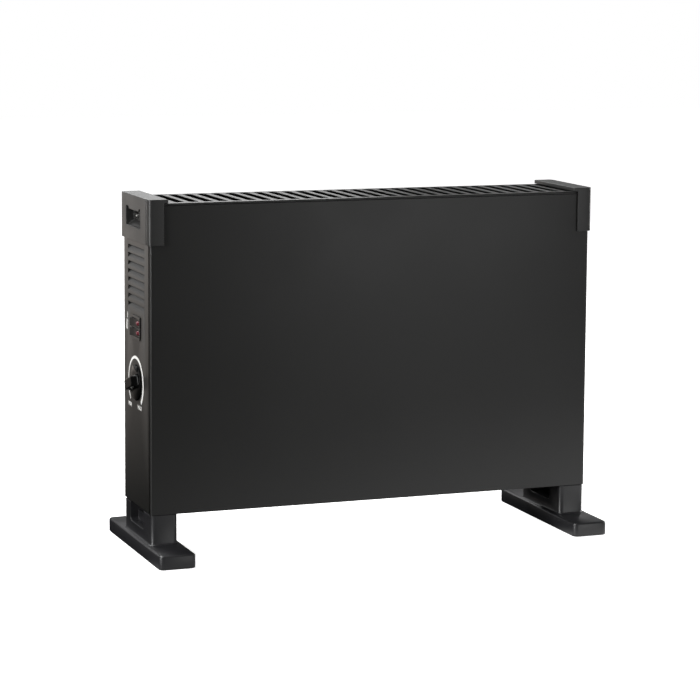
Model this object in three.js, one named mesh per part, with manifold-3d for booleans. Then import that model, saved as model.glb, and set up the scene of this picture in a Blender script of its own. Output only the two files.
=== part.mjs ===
// Free-standing convector heater: a folded sheet-steel casing with a slotted top and bottom,
// moulded end caps with handle pockets, two screwed-on feet, a double rocker switch with lamps,
// a thermostat with its knob, and the heating unit inside.
//
// Millimetres, +Z up. X runs along the casing, the front faces -Y and the controls face -X.
// The sizes are written from the casing's middle; the origin is on the floor under the middle of
// the overall box, which the knob makes longer on the left.

import * as THREE from 'three';
import { mergeVertices } from 'three/addons/utils/BufferGeometryUtils.js';
import Module from 'manifold-3d';

const wasm = await Module();
wasm.setup();

// ---------------------------------------------------------------- driving dimensions

// Casing
const casingLength = 515;
const casingDepth = 103;
const casingBottom = 48.4;          // lower edge of the front panel above the floor
const casingTop = 384.8;            // upper face of the top grille
const sheet = 0.8;                  // steel sheet
const fit = 0.3;                    // clearance between pieces that seat on each other
const frontBend = 3;                // outer radius of the front panel's upright bends
const frontFlank = 3.2;             // depth of the bent edge that shows beside each side panel
const joggleRun = 0.6;              // length of the step where a flange ducks behind its neighbour
const frontReturn = 12;             // return flange of the front panel behind each side panel
const returnNotch = 4;              // height cut from the foot of every upright return flange
const sideSeam = 2.8;               // open seam between the joggle and the side panel's edge
const rearBend = 1.5;               // outer radius of the side panels' rear bends
const rearReturn = 14;              // flange of a side panel that carries the rear panel
const sideFlangeWidth = 21;         // flange under a side panel that the foot screws clamp
const floorLift = 0.4;              // bottom grille above the front panel's lower edge
const rearPanelInset = 1.7;         // rear panel's edge from the casing's side plane
const rearPanelCorner = 2;

// Air openings of the casing
const rimHeight = 1.9;              // plain rim of the top grille above its joggle
const rimBend = 1.2;
const rimSetback = 0.1;
const joggleDrop = 0.6;             // height of the grille's joggle
const channelFlange = 12;           // folded-down or folded-up flange of both grilles
const channelBend = 1.2;
const topSlotCount = 30;
const topSlotPitch = 16.4;
const topSlotWidth = 10;
const topSlotLength = 85;
const slotCorner = 1.5;
const bottomSlotCount = 22;
const bottomSlotPitch = 19;
const bottomSlotWidth = 9;
const bottomSlotLength = 70;
const rearSlotCount = 20;
const rearSlotPitch = 18;
const rearSlotWidth = 4;
const rearSlotHeight = 26;
const rearLowerRowHeight = 92;      // middle of the lower row above the floor
const rearUpperRowHeight = 338;

// Side panels: everything in them is centred on the flat between the two edges
const sideCentre = 2;               // Y of that middle line
const louvreCount = 8;
const louvrePitch = 8.97;
const louvreDrop = 6.6;             // upper edge of the top louvre below the end cap
const louvreLength = 64;
const louvreHeight = 5.4;
const louvreDepth = 2.4;            // how far the tongue is pressed in
const louvreMouth = 1;              // open slit above the tongue
const louvreRoot = 0.5;             // length over which a tongue grows out of the sheet

// End caps
const capDrop = 44.8;               // lower edge of the cap below the grille's face
const capRise = 4.4;                // top of the cap above the grille
const capWall = 2.2;
const capCorner = 5;
const capInnerCorner = 2.4;
const capFrontLap = 15;             // how far the cap laps onto the front and the rear
const capTopLap = 19.5;             // how far its top plate laps over the grille
const capTopWall = 2.2;
const capRibWidth = 3;              // solid edge round the hollow in the top plate
const capGrooveFront = 8.8;         // groove in the cap's side, from the cap's front
const capGrooveWidth = 2.8;
const capGrooveDepth = 1;
const pocketCentre = 5;             // Y of the handle pocket's middle
const pocketLength = 55.5;
const pocketHeight = 21.1;
const pocketDrop = 8.9;             // pocket's upper edge below the grille's face
const pocketDepth = 6.5;            // from the side plane to the pocket's back wall
const pocketRamp = 5.2;             // rise of the pocket's sloping floor
const pocketCorner = 2.5;
const lipCentre = 3;                // tab that hangs from the pocket's upper edge
const lipLength = 42;
const lipDrop = 3;
const capBracketWidth = 24;
const capBracketLeg = 12;           // leg of the bracket on the side panel
const capBracketRise = 21;          // leg behind the pocket
const capScrewPlace = 19;           // Y of the screw in the pocket's back wall
const capScrewRise = 10.5;          // its height above the pocket's lower edge

// Feet
const footLength = 205;
const footWidth = 41;
const footThickness = 15.4;
const footOutboard = 5;             // how far the foot stands out past the side panel
const footCorner = 6;
const footEdge = 2;                 // rounding of the base's upper edge
const footChamfer = 0.8;            // chamfer of its lower edge
const pedestalWidth = 30.5;
const pedestalCorner = 6;
const pedestalFlare = 2;            // fillet where the pedestal meets the base
const windowLength = 52;            // window through the pedestal's side
const windowSill = 27.5;
const windowCorner = 4;
const windowDepth = 9.5;            // from the outboard face to the web
const webThickness = 3;
const webTop = 38;
const footPocketLength = 44;        // moulding hollow under the window
const footPocketWidth = 24;
const footPocketHeight = 23;
const footScrewFrontInset = 14;     // two screws, from the casing's front and rear
const footScrewRearInset = 11.5;
const counterboreRadius = 5;
const counterboreTop = 40;

// Fasteners
const screwRadius = 2;
const screwHole = 2.4;
const screwHeadRadius = 3.8;
const screwHeadHeight = 2.2;
const screwLength = 12;
const crossLength = 4;
const crossWidth = 0.9;
const crossDepth = 1.2;
const rearScrewHeights = [74, 210, 322];
const rearScrewInset = 7.5;         // screw axis from the casing's side plane
const smallScrewRadius = 1.5;
const smallScrewHole = 1.8;
const smallHeadRadius = 2.7;
const smallHeadHeight = 1;
const smallScrewLength = 4;

// Double rocker switch
const switchHeight = 245.4;         // middle of the switch above the floor
const bezelLength = 32.5;
const bezelHeight = 25.6;
const bezelThickness = 0.9;
const bezelCorner = 1;
const switchWall = 0.8;
const switchLid = 1.4;              // wall above and below the rockers
const switchDepth = 20;             // behind the side panel's face
const rockerLength = 27;
const rockerHeight = 9;
const rockerSwing = 16;             // degrees from one stop to the other
const rockerEnds = 5;               // height of the rocker's ends over its pivot
const rockerDish = 1;               // how much lower its middle is
const rockerSkirt = 4;              // depth of its end faces
const rockerHub = 2.2;
const pivotDepth = 2.6;             // pivot behind the side panel's face
const pivotRadius = 1;
const pivotReach = 0.65;            // how far a pivot pin stands out of its rocker
const rockerRunning = 0.3;          // clearance round a rocker
const cavityDepth = 9;
const lensLength = 7.6;             // oval lens, along Y and Z
const lensHeight = 5;
const lensOffset = 7.5;             // lens from the rocker's middle, towards the front
const lensSeat = 1.6;
const lensDome = 1.3;

// Thermostat
const dialHeight = 184.9;           // middle of the knob above the floor
const thermostatPlate = 1;
const thermostatPlateLength = 36;
const thermostatPlateHeight = 38;
const thermostatLength = 30;
const thermostatHeight = 24;
const thermostatDepth = 18;
const thermostatScrewOffset = 14;
const shaftRadius = 3;
const shaftFlat = 2.2;              // flat of the D-shaped shaft from its axis
const shaftHole = 4.5;              // hole in the side panel
const shaftInBody = 10;
const knobRadius = 19.8;
const knobRim = 1.4;                // thickness of the skirt at its edge
const knobCrown = 3;                // height of the skirt at its middle
const knobStandoff = 0.5;
const knobHollow = 17.2;            // radius of the hollow under the skirt
const knobHollowDepth = 1.1;
const gripHeight = 9.5;             // top of the grip over the skirt's underside
const gripTopLength = 28;
const gripTopWidth = 11;
const gripBaseLength = 34;
const gripBaseWidth = 17;
const shaftInKnob = 6;
const pointerRest = -108;           // degrees from upright, clockwise seen from outside

// Blades of the electrical parts
const bladeWidth = 6.3;
const bladeThickness = 0.8;
const bladeLength = 8;
const bladeRoot = 0.5;              // how far a blade sinks in its moulding

// Heating unit
const partitionPlace = 57.5;        // partition from the left side plane
const bracketPlace = 22;            // right bracket from the right side plane
const partitionHalf = 44;           // half width of the partition and the bracket
const partitionTop = 300;
const bracketTop = 180;
const unitFlange = 12;
const unitBend = 1.5;
const shieldSheet = 0.5;
const shieldBottom = 70;
const shieldTop = 298;
const boardOffset = 11;             // each mica board from the middle plane
const boardThickness = 1;
const boardBottom = 88;
const boardTop = 142;
const boardEnd = 3;                 // board's end from the sheet that carries it
const tabHeight = 20;
const tabReach = 4;                 // tab beyond the carrying sheet
const windingThickness = 0.5;
const windingWidth = 2.2;
const windingRuns = 31;
const windingMargin = 12;           // winding's first run from the board's end
const windingEdge = 4;              // winding from the board's upper and lower edges
const windingReturn = 5;            // gap between the runs and the return strip
const cutoutHeight = 190;
const cutoutRadius = 8;
const cutoutDepth = 8;
const cutoutFlange = 12;
const cutoutFlangeThickness = 1.2;
const cutoutBladeLength = 8.5;
const cutoutSpacing = 5;            // each blade from the middle
const bladeSlotMargin = 1.5;        // partition's slot round the cut-out's blades
const feedHoleLength = 26;          // hole in the partition for the wire from the switch
const feedHoleHeight = 14;
const feedHoleCentre = 8;           // its Y
const feedHoleDrop = 20;            // below the switch's middle
const returnHoleLength = 12;        // hole for the wire from the cut-out
const returnHoleHeight = 10;
const returnHoleCentre = -4;
const returnHoleDrop = 32;          // below the cut-out

// Mains connection
const blockLength = 34;             // terminal block
const blockWidth = 18;
const blockBase = 8;
const blockTower = 15;
const towerRadius = 4.2;
const blockPlace = 36.5;            // its middle from the left side plane
const blockCentre = 17;             // its middle in Y
const polePitch = 11;
const glandHeight = 80;
const glandBore = 4;
const glandNeck = 6.5;
const glandFlange = 9.5;
const glandFlangeThickness = 3;
const wireRadius = 1.3;
const wireAisle = 17;               // upright run of the wires from the partition
const wireStandoff = 5.4;           // wires off the windings' outer faces
const wireSpace = 4;                // wire's middle past the cut-out's can

// ---------------------------------------------------------------- derived places

const sidePlane = casingLength / 2;
const frontPlane = -casingDepth / 2;
const rearPlane = casingDepth / 2;
const lap = sheet + fit;                                     // a lapped sheet behind its neighbour
const floorBottom = casingBottom + floorLift;                // bottom grille
const floorTop = floorBottom + sheet;
const sideBottom = floorTop + fit;
const sideTop = casingTop - sheet - fit;
const joggleEnd = frontPlane + frontFlank + joggleRun;
const sideFrontEdge = joggleEnd + sideSeam;
const rearLap = rearPlane - lap;                             // outer face of what the rear panel covers
const grilleDrop = rimHeight + joggleDrop;
const panelTop = casingTop - grilleDrop - fit;               // upper edge of the front and rear panels
const flangeHalf = sidePlane - rearReturn - 1;               // grille flanges end inside the side flanges
const capTop = casingTop + capRise;
const capBottom = casingTop - capDrop;
const louvreTop = capBottom - louvreDrop;
const pocketTop = casingTop - pocketDrop;
const pocketBottom = pocketTop - pocketHeight;
const capScrewHeight = pocketBottom + capScrewRise;
const capOuter = fit + capWall;                              // cap's face outside the casing's
const footCentre = sidePlane + footOutboard - footWidth / 2;
const footScrews = { front: frontPlane + footScrewFrontInset, rear: rearPlane - footScrewRearInset };
const pedestalTop = casingBottom - fit;
const rockerPitch = rockerHeight + 2 * rockerRunning + 1;
const cavityHeight = rockerHeight + 2 * rockerRunning;
const partitionX = -sidePlane + partitionPlace;
const bracketX = sidePlane - bracketPlace;
const switchBack = -sidePlane + switchDepth;
const thermostatFront = -sidePlane + lap;
const thermostatBack = thermostatFront + thermostatPlate + thermostatDepth;
const blockX = -sidePlane + blockPlace;
const blockBottom = floorTop + fit;
const feedHole = [feedHoleCentre, switchHeight - feedHoleDrop];          // Y and Z
const returnHole = [returnHoleCentre, cutoutHeight - returnHoleDrop];

const radians = THREE.MathUtils.degToRad;

// ---------------------------------------------------------------- materials

const finish = (color, roughness, metalness = 0) =>
  new THREE.MeshStandardMaterial({ color, roughness, metalness });
const blackPaint = finish('#19191a', 0.45);
const blackPlastic = finish('#222224', 0.55);
const footPlastic = finish('#262628', 0.5);
const glossPlastic = finish('#101011', 0.25);
const zincSteel = finish('#a4a6a8', 0.4, 1);
const brightSteel = finish('#c9cbcc', 0.3, 1);
const mica = finish('#b69a63', 0.6);
const nichrome = finish('#6e6a66', 0.45, 1);
const phenolic = finish('#2b211c', 0.5);
const whiteNylon = finish('#dcdad2', 0.5);
const redLens = finish('#b3202a', 0.15);
const rubber = finish('#1b1b1b', 0.85);
const brownWire = finish('#5a3522', 0.6);
const blueWire = finish('#2a4f86', 0.6);

// ---------------------------------------------------------------- geometry helpers

// A closed solid that can be joined and cut.
function solid(geometry) {
  const bare = geometry.clone();
  bare.deleteAttribute('normal');
  bare.deleteAttribute('uv');
  const merged = mergeVertices(bare, 1e-4);
  return new wasm.Manifold(new wasm.Mesh({
    numProp: 3,
    vertProperties: new Float32Array(merged.attributes.position.array),
    triVerts: new Uint32Array(merged.index.array),
  }));
}

// The triangles of a joined or cut solid.
function surface(form) {
  const { vertProperties, triVerts } = form.getMesh();
  const geometry = new THREE.BufferGeometry();
  geometry.setAttribute('position', new THREE.BufferAttribute(new Float32Array(vertProperties), 3));
  geometry.setIndex(new THREE.BufferAttribute(new Uint32Array(triVerts), 1));
  geometry.computeVertexNormals();
  return geometry;
}

// The same piece for the other side of the heater.
function mirrored(geometry) {
  const copy = geometry.clone().scale(-1, 1, 1);
  const index = copy.index.array;
  for (let i = 0; i < index.length; i += 3) [index[i], index[i + 1]] = [index[i + 1], index[i]];
  copy.computeVertexNormals();
  return copy;
}

function block([x0, x1], [y0, y1], [z0, z1]) {
  const box = new THREE.BoxGeometry(x1 - x0, y1 - y0, z1 - z0);
  return solid(box.translate((x0 + x1) / 2, (y0 + y1) / 2, (z0 + z1) / 2));
}

// Corners [u, v, radius] of an outline or an open path, with each radius drawn as short chords.
function rounded(corners, closed = true, chord = Math.PI / 8) {
  const at = (i) => new THREE.Vector2(...corners[(i + corners.length) % corners.length]);
  return corners.flatMap(([u, v, radius = 0], i) => {
    const here = new THREE.Vector2(u, v);
    const open = !closed && (i === 0 || i === corners.length - 1);
    if (!radius || open) return [here];
    const before = at(i - 1).sub(here).normalize();
    const after = at(i + 1).sub(here).normalize();
    const half = Math.acos(THREE.MathUtils.clamp(before.dot(after), -1, 1)) / 2;
    const middle = before.clone().add(after).normalize();
    const centre = here.clone().addScaledVector(middle, radius / Math.sin(half));
    const start = here.clone().addScaledVector(before, radius / Math.tan(half)).sub(centre);
    const sweep = (Math.PI - 2 * half) * Math.sign(after.cross(before));
    const steps = Math.max(1, Math.round(Math.abs(sweep) / chord));
    return Array.from({ length: steps + 1 }, (_, k) =>
      start.clone().rotateAround(new THREE.Vector2(), (sweep * k) / steps).add(centre));
  });
}

function rectangle(width, height, corner, [u, v] = [0, 0], chord = Math.PI / 8) {
  const [a, b] = [width / 2, height / 2];
  return rounded([[u - a, v - b, corner], [u + a, v - b, corner],
    [u + a, v + b, corner], [u - a, v + b, corner]], true, chord);
}

function disc([u, v], radius, sides = 16) {
  return Array.from({ length: sides }, (_, i) => {
    const angle = ((i + 0.5) / sides) * 2 * Math.PI;
    return new THREE.Vector2(u + radius * Math.cos(angle), v + radius * Math.sin(angle));
  });
}

// A folded sheet: the path follows the outer face and the metal lies on its left.
// Each corner is [u, v, radius of the outer face].
function folded(path, thickness) {
  const points = path.map(([u, v]) => new THREE.Vector2(u, v));
  const heading = (i) => points[i + 1].clone().sub(points[i]).normalize();
  const inner = path.map(([u, v, radius = 0], i) => {
    const into = heading(Math.max(i - 1, 0));
    const out = heading(Math.min(i, path.length - 2));
    const side = new THREE.Vector2(-into.y - out.y, into.x + out.x).divideScalar(1 + into.dot(out));
    const turn = into.cross(out) > 0 ? -thickness : thickness;
    return [u + side.x * thickness, v + side.y * thickness, radius ? radius + turn : 0];
  });
  return [...rounded(path, false), ...rounded(inner, false).reverse()];
}

// An outline drawn in the other two axes (x y, x z or y z) and drawn out along one axis.
function prism(outline, axis, [from, to]) {
  const geometry = new THREE.ExtrudeGeometry(new THREE.Shape(outline),
    { depth: to - from, bevelEnabled: false, steps: 1 });
  const [x, y, z] = [0, 1, 2].map((i) => new THREE.Vector3().setComponent(i, 1));
  const place = new THREE.Matrix4();
  if (axis === 'x') place.makeBasis(y, z, x).setPosition(from, 0, 0);
  if (axis === 'y') place.makeBasis(x, z, y.clone().negate()).setPosition(0, to, 0);
  if (axis === 'z') place.makeBasis(x, y, z).setPosition(0, 0, from);
  return solid(geometry.applyMatrix4(place));
}

// A solid that passes through rounded rectangles [z, length in x, width in y, corner radius].
function lofted(sections, chord = Math.PI / 8) {
  const rings = sections.map(([z, length, width, corner]) =>
    rectangle(length, width, corner, [0, 0], chord).map(({ x, y }) => [x, y, z]));
  const count = rings[0].length;
  const positions = rings.flat();
  const faces = [];
  for (let ring = 0; ring < rings.length - 1; ring += 1) {
    for (let i = 0; i < count; i += 1) {
      const [a, b] = [ring * count + i, ring * count + ((i + 1) % count)];
      faces.push(a, b, b + count, a, b + count, a + count);
    }
  }
  for (const [ring, up] of [[0, false], [rings.length - 1, true]]) {
    const centre = positions.length;
    positions.push([0, 0, sections[ring][0]]);
    for (let i = 0; i < count; i += 1) {
      const [a, b] = [ring * count + i, ring * count + ((i + 1) % count)];
      faces.push(...(up ? [centre, a, b] : [centre, b, a]));
    }
  }
  const geometry = new THREE.BufferGeometry();
  geometry.setAttribute('position', new THREE.Float32BufferAttribute(positions.flat(), 3));
  geometry.setIndex(faces);
  return geometry;
}

// A turned solid about +Z, from a profile of [radius, z] that starts and ends on the axis.
const turned = (profile, sides = 16) =>
  new THREE.LatheGeometry(profile.map(([r, z]) => new THREE.Vector2(r, z)), sides).rotateX(Math.PI / 2);

const joined = (first, ...others) => others.reduce((sum, form) => sum.add(form), first);
const cut = (form, ...tools) => tools.reduce((rest, tool) => rest.subtract(tool), form);
const counted = (count, make) => Array.from({ length: count }, (_, i) => make(i));
const spread = (i, count, pitch) => (i - (count - 1) / 2) * pitch;

// ---------------------------------------------------------------- casing

function frontPanel() {
  const edge = (side) => [
    [side * sidePlane, frontPlane, frontBend],
    [side * sidePlane, frontPlane + frontFlank],
    [side * (sidePlane - lap), joggleEnd],
    [side * (sidePlane - lap), joggleEnd + frontReturn],
  ];
  const panel = prism(folded([...edge(-1).reverse(), ...edge(1)], sheet), 'z',
    [casingBottom, panelTop]);
  const notches = [-1, 1].map((side) => {
    const middle = side * (sidePlane - lap);
    return block([middle - 2 * sheet, middle + 2 * sheet], [joggleEnd, joggleEnd + frontReturn + 1],
      [casingBottom - 1, casingBottom + returnNotch]);
  });
  return cut(panel, ...notches);
}

function rearPanel() {
  const height = panelTop - casingBottom;
  const outline = rectangle(2 * (sidePlane - rearPanelInset), height, rearPanelCorner,
    [0, casingBottom + height / 2]);
  const through = [rearPlane - 2 * sheet, rearPlane + sheet];
  const slots = [rearLowerRowHeight, rearUpperRowHeight].flatMap((z) => counted(rearSlotCount, (i) =>
    prism(rectangle(rearSlotWidth, rearSlotHeight, 0,
      [spread(i, rearSlotCount, rearSlotPitch), z]), 'y', through)));
  const screws = rearScrewPlaces().map(([x, z]) => prism(disc([x, z], screwHole, 10), 'y', through));
  const inlet = prism(disc([blockX, glandHeight], glandNeck + fit), 'y', through);
  return cut(prism(outline, 'y', [rearPlane - sheet, rearPlane]), ...slots, ...screws, inlet);
}

function rearScrewPlaces() {
  return [-1, 1].flatMap((side) =>
    rearScrewHeights.map((z) => [side * (sidePlane - rearScrewInset), z]));
}

// A tongue pressed into the side panel, with its two cheeks; the slit is above it.
function louvre(z) {
  const bottom = z - louvreHeight;
  const tip = z - louvreMouth;
  const [face, deep] = [-sidePlane, -sidePlane + louvreDepth];
  const half = louvreLength / 2;
  const tongue = [[face, bottom - louvreRoot], [face, bottom], [deep, tip],
    [deep + sheet, tip], [face + sheet, bottom], [face + sheet, bottom - louvreRoot]];
  const cheek = [[face, bottom - louvreRoot], [face, z], [deep, z], [deep + sheet, tip],
    [face + sheet, bottom - louvreRoot]];
  const vectors = (points) => points.map(([u, v]) => new THREE.Vector2(u, v));
  return [
    prism(vectors(tongue), 'y', [sideCentre - half, sideCentre + half]),
    prism(vectors(cheek), 'y', [sideCentre - half - sheet / 2, sideCentre - half + sheet / 2]),
    prism(vectors(cheek), 'y', [sideCentre + half - sheet / 2, sideCentre + half + sheet / 2]),
  ];
}

function plainSidePanel() {
  const wall = prism(folded([[-sidePlane + rearReturn, rearLap], [-sidePlane, rearLap, rearBend],
    [-sidePlane, sideFrontEdge]], sheet), 'z', [sideBottom, sideTop]);
  const flange = block([-sidePlane, -sidePlane + sideFlangeWidth],
    [sideFrontEdge + 1, rearLap - sheet - fit], [sideBottom, sideBottom + sheet]);
  const throughWall = [-sidePlane - 1, -sidePlane + 2 * sheet];
  const returnEnds = [[sideBottom - 1, casingBottom + returnNotch], [panelTop, casingTop]]
    .map((heights) => block([-sidePlane + sheet, -sidePlane + rearReturn + 1],
      [rearLap - 2 * sheet, rearLap + 1], heights));
  const notch = block(throughWall,
    [pocketCentre - pocketLength / 2 - capWall - fit, pocketCentre + pocketLength / 2 + capWall + fit],
    [pocketBottom - capWall - fit, casingTop]);
  const heights = counted(louvreCount, (i) => louvreTop - i * louvrePitch);
  const slits = heights.map((z) => block([-sidePlane - 1, -sidePlane + 1.5 * sheet],
    [sideCentre - louvreLength / 2, sideCentre + louvreLength / 2], [z - louvreHeight, z]));
  const footHoles = Object.values(footScrews).map((y) =>
    prism(disc([-footCentre, y], screwHole, 10), 'z', [floorBottom - 1, sideBottom + 2 * sheet]));
  const rearHoles = rearScrewHeights.map((z) =>
    prism(disc([-sidePlane + rearScrewInset, z], screwHole, 10), 'y', [rearLap - 2, rearLap + 1]));
  const panel = cut(joined(cut(wall, ...returnEnds), flange), notch, ...slits, ...footHoles,
    ...rearHoles);
  return joined(panel, ...heights.flatMap(louvre));
}

function controlSidePanel() {
  const throughWall = [-sidePlane - 1, -sidePlane + 2 * sheet];
  const switchHole = prism(rectangle(housingLength() + 2 * fit, housingHeight() + 2 * fit, fit,
    [sideCentre, switchHeight], Math.PI / 2), 'x', throughWall);
  const shaft = prism(disc([sideCentre, dialHeight], shaftHole), 'x', throughWall);
  const screws = [-1, 1].map((side) =>
    prism(disc([sideCentre, dialHeight + side * thermostatScrewOffset], smallScrewHole, 10),
      'x', throughWall));
  return cut(plainSidePanel(), switchHole, shaft, ...screws);
}

function topGrille() {
  const edge = (side) => [
    [side * rearLap, casingTop - grilleDrop - channelFlange],
    [side * rearLap, casingTop - grilleDrop],
    [side * (rearPlane - rimSetback), casingTop - rimHeight],
    [side * (rearPlane - rimSetback), casingTop, rimBend],
  ];
  const channel = prism(folded([...edge(1), ...edge(-1).reverse()], sheet), 'x',
    [-sidePlane + lap, sidePlane - lap]);
  const slots = counted(topSlotCount, (i) => prism(rectangle(topSlotWidth, topSlotLength,
    slotCorner, [spread(i, topSlotCount, topSlotPitch), 0], Math.PI / 2), 'z',
  [casingTop - 2 * sheet, casingTop + 1]));
  return cut(channel, ...slots, ...flangeEnds([casingTop - grilleDrop - channelFlange - 1,
    casingTop - grilleDrop]));
}

// Cuts that end a grille's flanges short of the side panels' return flanges.
function flangeEnds(heights) {
  return [-1, 1].map((side) => {
    const reach = [side * flangeHalf, side * (sidePlane + 1)].sort((a, b) => a - b);
    return block(reach, [frontPlane - 1, rearPlane + 1], heights);
  });
}

function bottomGrille() {
  const edge = (side) => [
    [side * rearLap, floorTop + channelFlange],
    [side * rearLap, floorBottom, channelBend],
  ];
  const half = sidePlane - lap - lap;
  const channel = prism(folded([...edge(-1), ...edge(1).reverse()], sheet), 'x', [-half, half]);
  const through = [floorBottom - 1, floorTop + 1];
  const slots = counted(bottomSlotCount, (i) => prism(rectangle(bottomSlotWidth, bottomSlotLength,
    slotCorner, [spread(i, bottomSlotCount, bottomSlotPitch), 0], Math.PI / 2), 'z', through));
  const holes = [-1, 1].flatMap((side) => Object.values(footScrews).map((y) =>
    prism(disc([side * footCentre, y], screwHole, 10), 'z', through)));
  return cut(channel, ...slots, ...holes,
    ...flangeEnds([floorTop + sheet / 2, floorTop + channelFlange + 1]));
}

// ---------------------------------------------------------------- end caps

// Left cap: a shell over the casing's corner with a pocket for the fingers.
function endCap() {
  const outerX = -sidePlane - capOuter;
  const innerX = -sidePlane + capTopLap;
  const [front, rear] = [frontPlane - capOuter, rearPlane + capOuter];
  const outline = rounded([[outerX, front, capCorner], [innerX, front], [innerX, rear],
    [outerX, rear, capCorner]]);
  const hollow = rounded([[-sidePlane - fit, frontPlane - fit, capInnerCorner],
    [innerX + 1, frontPlane - fit], [innerX + 1, rearPlane + fit],
    [-sidePlane - fit, rearPlane + fit, capInnerCorner]]);
  const shell = cut(prism(outline, 'z', [capBottom, capTop]),
    prism(hollow, 'z', [capBottom - 1, casingTop + fit]),
    block([-sidePlane + capFrontLap, innerX + 1], [front - 1, rear + 1],
      [capBottom - 1, casingTop + fit]),
    block([-sidePlane + capRibWidth, innerX - capRibWidth],
      [frontPlane + capRibWidth, rearPlane - capRibWidth],
      [casingTop, capTop - capTopWall]));
  const screwHoleThrough = prism(disc([capScrewPlace, capScrewHeight], screwHole, 12), 'x',
    [-sidePlane + 1, -sidePlane + pocketDepth + capWall + 1]);
  const groove = block([outerX - 1, outerX + capGrooveDepth],
    [front + capGrooveFront - capGrooveWidth / 2, front + capGrooveFront + capGrooveWidth / 2],
    [capBottom - 1, capTop + 1]);
  return cut(joined(shell, pocketBody()), pocketHollow(), pocketMouth(), screwHoleThrough, groove);
}

// Section of the pocket in X and Z, grown outwards by a wall.
function pocketSection(mouth, wall) {
  const back = -sidePlane + pocketDepth + wall;
  return [[mouth, pocketBottom - wall], [back, pocketBottom + pocketRamp - wall],
    [back, pocketTop + wall], [mouth, pocketTop + wall]].map(([u, v]) => new THREE.Vector2(u, v));
}

function pocketBody() {
  const half = pocketLength / 2 + capWall;
  return prism(pocketSection(-sidePlane - fit - capWall / 2, capWall), 'y',
    [pocketCentre - half, pocketCentre + half]);
}

function pocketHollow() {
  const half = pocketLength / 2;
  return prism(pocketSection(-sidePlane - fit, 0), 'y', [pocketCentre - half, pocketCentre + half]);
}

// The opening in the cap's side, with the tab left hanging from its upper edge.
function pocketMouth() {
  const half = pocketLength / 2;
  const tab = lipLength / 2;
  const outline = rounded([[pocketCentre - half, pocketBottom, pocketCorner],
    [pocketCentre + half, pocketBottom, pocketCorner],
    [pocketCentre + half, pocketTop, pocketCorner],
    [lipCentre + tab, pocketTop], [lipCentre + tab - lipDrop, pocketTop - lipDrop],
    [lipCentre - tab + lipDrop, pocketTop - lipDrop], [lipCentre - tab, pocketTop],
    [pocketCentre - half, pocketTop, pocketCorner]]);
  return prism(outline, 'x', [-sidePlane - capOuter - 1, -sidePlane - fit + 0.01]);
}

// Steel strip on the side panel's inner face that takes the cap's screw behind the pocket.
function capBracket() {
  const wallFace = -sidePlane + sheet + fit;
  const shelf = pocketBottom - capWall - fit - 2;
  const backFace = -sidePlane + pocketDepth + capWall + fit;
  const path = [[wallFace, shelf - capBracketLeg], [wallFace, shelf, 1], [backFace, shelf, 1],
    [backFace, shelf + capBracketRise]].map(([u, v, r]) => [u, v, r]);
  const strip = prism(folded(path.reverse(), sheet), 'y',
    [capScrewPlace - capBracketWidth / 2, capScrewPlace + capBracketWidth / 2]);
  return cut(strip, prism(disc([capScrewPlace, capScrewHeight], screwHole, 10), 'x',
    [backFace - 2, backFace + 2 * sheet]));
}

// ---------------------------------------------------------------- feet

// Left foot about its own middle, outboard towards -X.
function foot() {
  const base = solid(lofted([
    [0, footWidth - 2 * footChamfer, footLength - 2 * footChamfer, footCorner - footChamfer],
    [footChamfer, footWidth, footLength, footCorner],
    [footThickness - footEdge, footWidth, footLength, footCorner],
    [footThickness - footEdge * 0.3, footWidth - footEdge * 0.6, footLength - footEdge * 0.6,
      footCorner - footEdge * 0.3],
    [footThickness, footWidth - 2 * footEdge, footLength - 2 * footEdge, footCorner - footEdge],
  ]));
  const flared = (z, flare) =>
    [z, pedestalWidth + 2 * flare, casingDepth + 2 * flare, pedestalCorner + flare];
  const pedestal = solid(lofted([
    flared(footThickness - 0.4, pedestalFlare),
    flared(footThickness + pedestalFlare * 0.3, pedestalFlare * 0.3),
    flared(footThickness + pedestalFlare, 0),
    flared(pedestalTop, 0),
  ]));
  const outboard = -pedestalWidth / 2;
  const half = windowLength / 2;
  const window = rounded([[sideCentre - half, windowSill, windowCorner],
    [sideCentre + half, windowSill, windowCorner], [sideCentre + half, casingBottom + 1],
    [sideCentre - half, casingBottom + 1]]);
  const web = [outboard + windowDepth, outboard + windowDepth + webThickness];
  const underside = block([-footPocketWidth / 2, footPocketWidth / 2],
    [sideCentre - footPocketLength / 2, sideCentre + footPocketLength / 2], [-1, footPocketHeight]);
  const bores = Object.values(footScrews).flatMap((y) => [
    prism(disc([0, y], counterboreRadius), 'z', [-1, counterboreTop]),
    prism(disc([0, y], screwHole, 10), 'z', [0, pedestalTop + 1])]);
  return cut(joined(base, pedestal),
    prism(window, 'x', [outboard - 3, web[0]]),
    prism(window, 'x', [web[1], pedestalWidth / 2 + 3]),
    block([web[0] - 1, web[1] + 1], [sideCentre - half, sideCentre + half],
      [webTop, pedestalTop + 1]),
    underside, ...bores);
}

// ---------------------------------------------------------------- screws

// A cross-recessed screw: head above z = 0, shank below.
function screw(headRadius, headHeight, radius, length) {
  const body = solid(turned([[0, -length], [radius, -length], [radius, 0], [headRadius, 0],
    [headRadius * 0.92, headHeight * 0.55], [headRadius * 0.6, headHeight], [0, headHeight]], 12));
  const reach = (crossLength * headRadius) / screwHeadRadius / 2;
  const floor = Math.max(headHeight - crossDepth, headHeight * 0.3);
  const bar = (a, b) => block([-a, a], [-b, b], [floor, headHeight + 1]);
  return surface(cut(body, bar(reach, crossWidth / 2), bar(crossWidth / 2, reach)));
}

// ---------------------------------------------------------------- switch

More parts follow.
